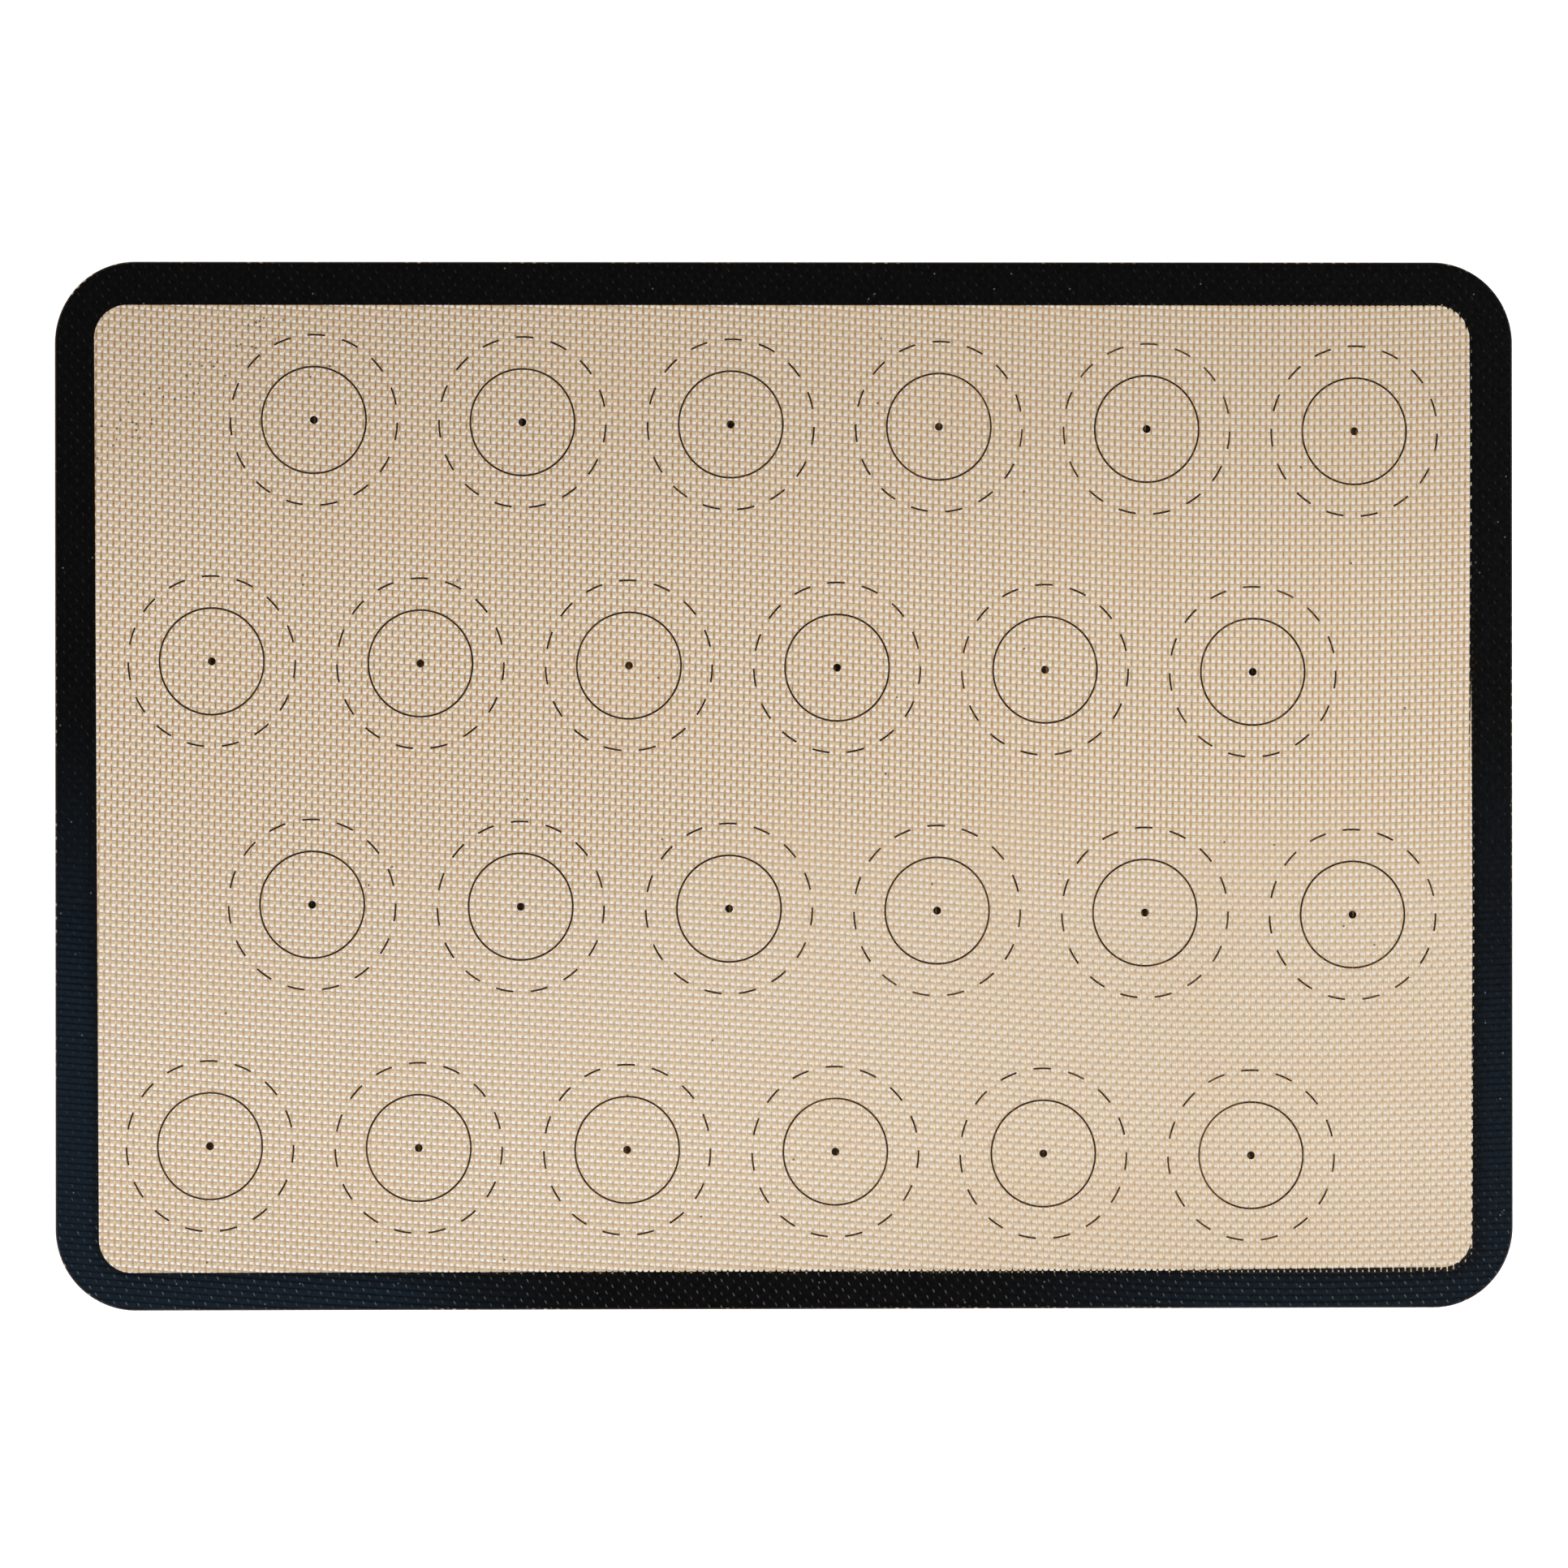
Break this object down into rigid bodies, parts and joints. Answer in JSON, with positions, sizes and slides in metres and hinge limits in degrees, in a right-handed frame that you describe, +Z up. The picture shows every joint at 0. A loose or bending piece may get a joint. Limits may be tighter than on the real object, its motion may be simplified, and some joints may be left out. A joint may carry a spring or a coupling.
{
  "type": "silicone baking mat",
  "caption": "Flat flexible woven-glass baking mat with rounded corners, a dark wrapped border and rows of printed piping guide circles.",
  "frame": {"origin": "middle of the mat's outline, on the plane that the underside lies on", "axes": "+X along the mat's length, +Y along its width towards the wider end border, +Z up out of the printed face"},
  "size_m": [0.42, 0.295, 0.0008],
  "materials": {
    "clear_silicone": "satin",
    "glass_cloth": "woven",
    "black_silicone": "satin",
    "guide_ink": "matte"
  },
  "bodies": {
    "root": {"glass_cloth": "glass_cloth", "bottom_coat": "clear_silicone", "top_coat": "clear_silicone", "border_band": "black_silicone", "piping_circle_r1_c1": "guide_ink", "spread_circle_r1_c1": "guide_ink", "piping_circle_r1_c2": "guide_ink", "spread_circle_r1_c2": "guide_ink", "piping_circle_r1_c3": "guide_ink", "spread_circle_r1_c3": "guide_ink", "piping_circle_r1_c4": "guide_ink", "spread_circle_r1_c4": "guide_ink", "piping_circle_r1_c5": "guide_ink", "spread_circle_r1_c5": "guide_ink", "piping_circle_r1_c6": "guide_ink", "spread_circle_r1_c6": "guide_ink", "centre_dots_row_1": "guide_ink", "piping_circle_r2_c1": "guide_ink", "spread_circle_r2_c1": "guide_ink", "piping_circle_r2_c2": "guide_ink", "spread_circle_r2_c2": "guide_ink", "piping_circle_r2_c3": "guide_ink", "spread_circle_r2_c3": "guide_ink", "piping_circle_r2_c4": "guide_ink", "spread_circle_r2_c4": "guide_ink", "piping_circle_r2_c5": "guide_ink", "spread_circle_r2_c5": "guide_ink", "piping_circle_r2_c6": "guide_ink", "spread_circle_r2_c6": "guide_ink", "centre_dots_row_2": "guide_ink", "piping_circle_r3_c1": "guide_ink", "spread_circle_r3_c1": "guide_ink", "piping_circle_r3_c2": "guide_ink", "spread_circle_r3_c2": "guide_ink", "piping_circle_r3_c3": "guide_ink", "spread_circle_r3_c3": "guide_ink", "piping_circle_r3_c4": "guide_ink", "spread_circle_r3_c4": "guide_ink", "piping_circle_r3_c5": "guide_ink", "spread_circle_r3_c5": "guide_ink", "piping_circle_r3_c6": "guide_ink", "spread_circle_r3_c6": "guide_ink", "centre_dots_row_3": "guide_ink", "piping_circle_r4_c1": "guide_ink", "spread_circle_r4_c1": "guide_ink", "piping_circle_r4_c2": "guide_ink", "spread_circle_r4_c2": "guide_ink", "piping_circle_r4_c3": "guide_ink", "spread_circle_r4_c3": "guide_ink", "piping_circle_r4_c4": "guide_ink", "spread_circle_r4_c4": "guide_ink", "piping_circle_r4_c5": "guide_ink", "spread_circle_r4_c5": "guide_ink", "piping_circle_r4_c6": "guide_ink", "spread_circle_r4_c6": "guide_ink", "centre_dots_row_4": "guide_ink"}
  },
  "joints": []
}
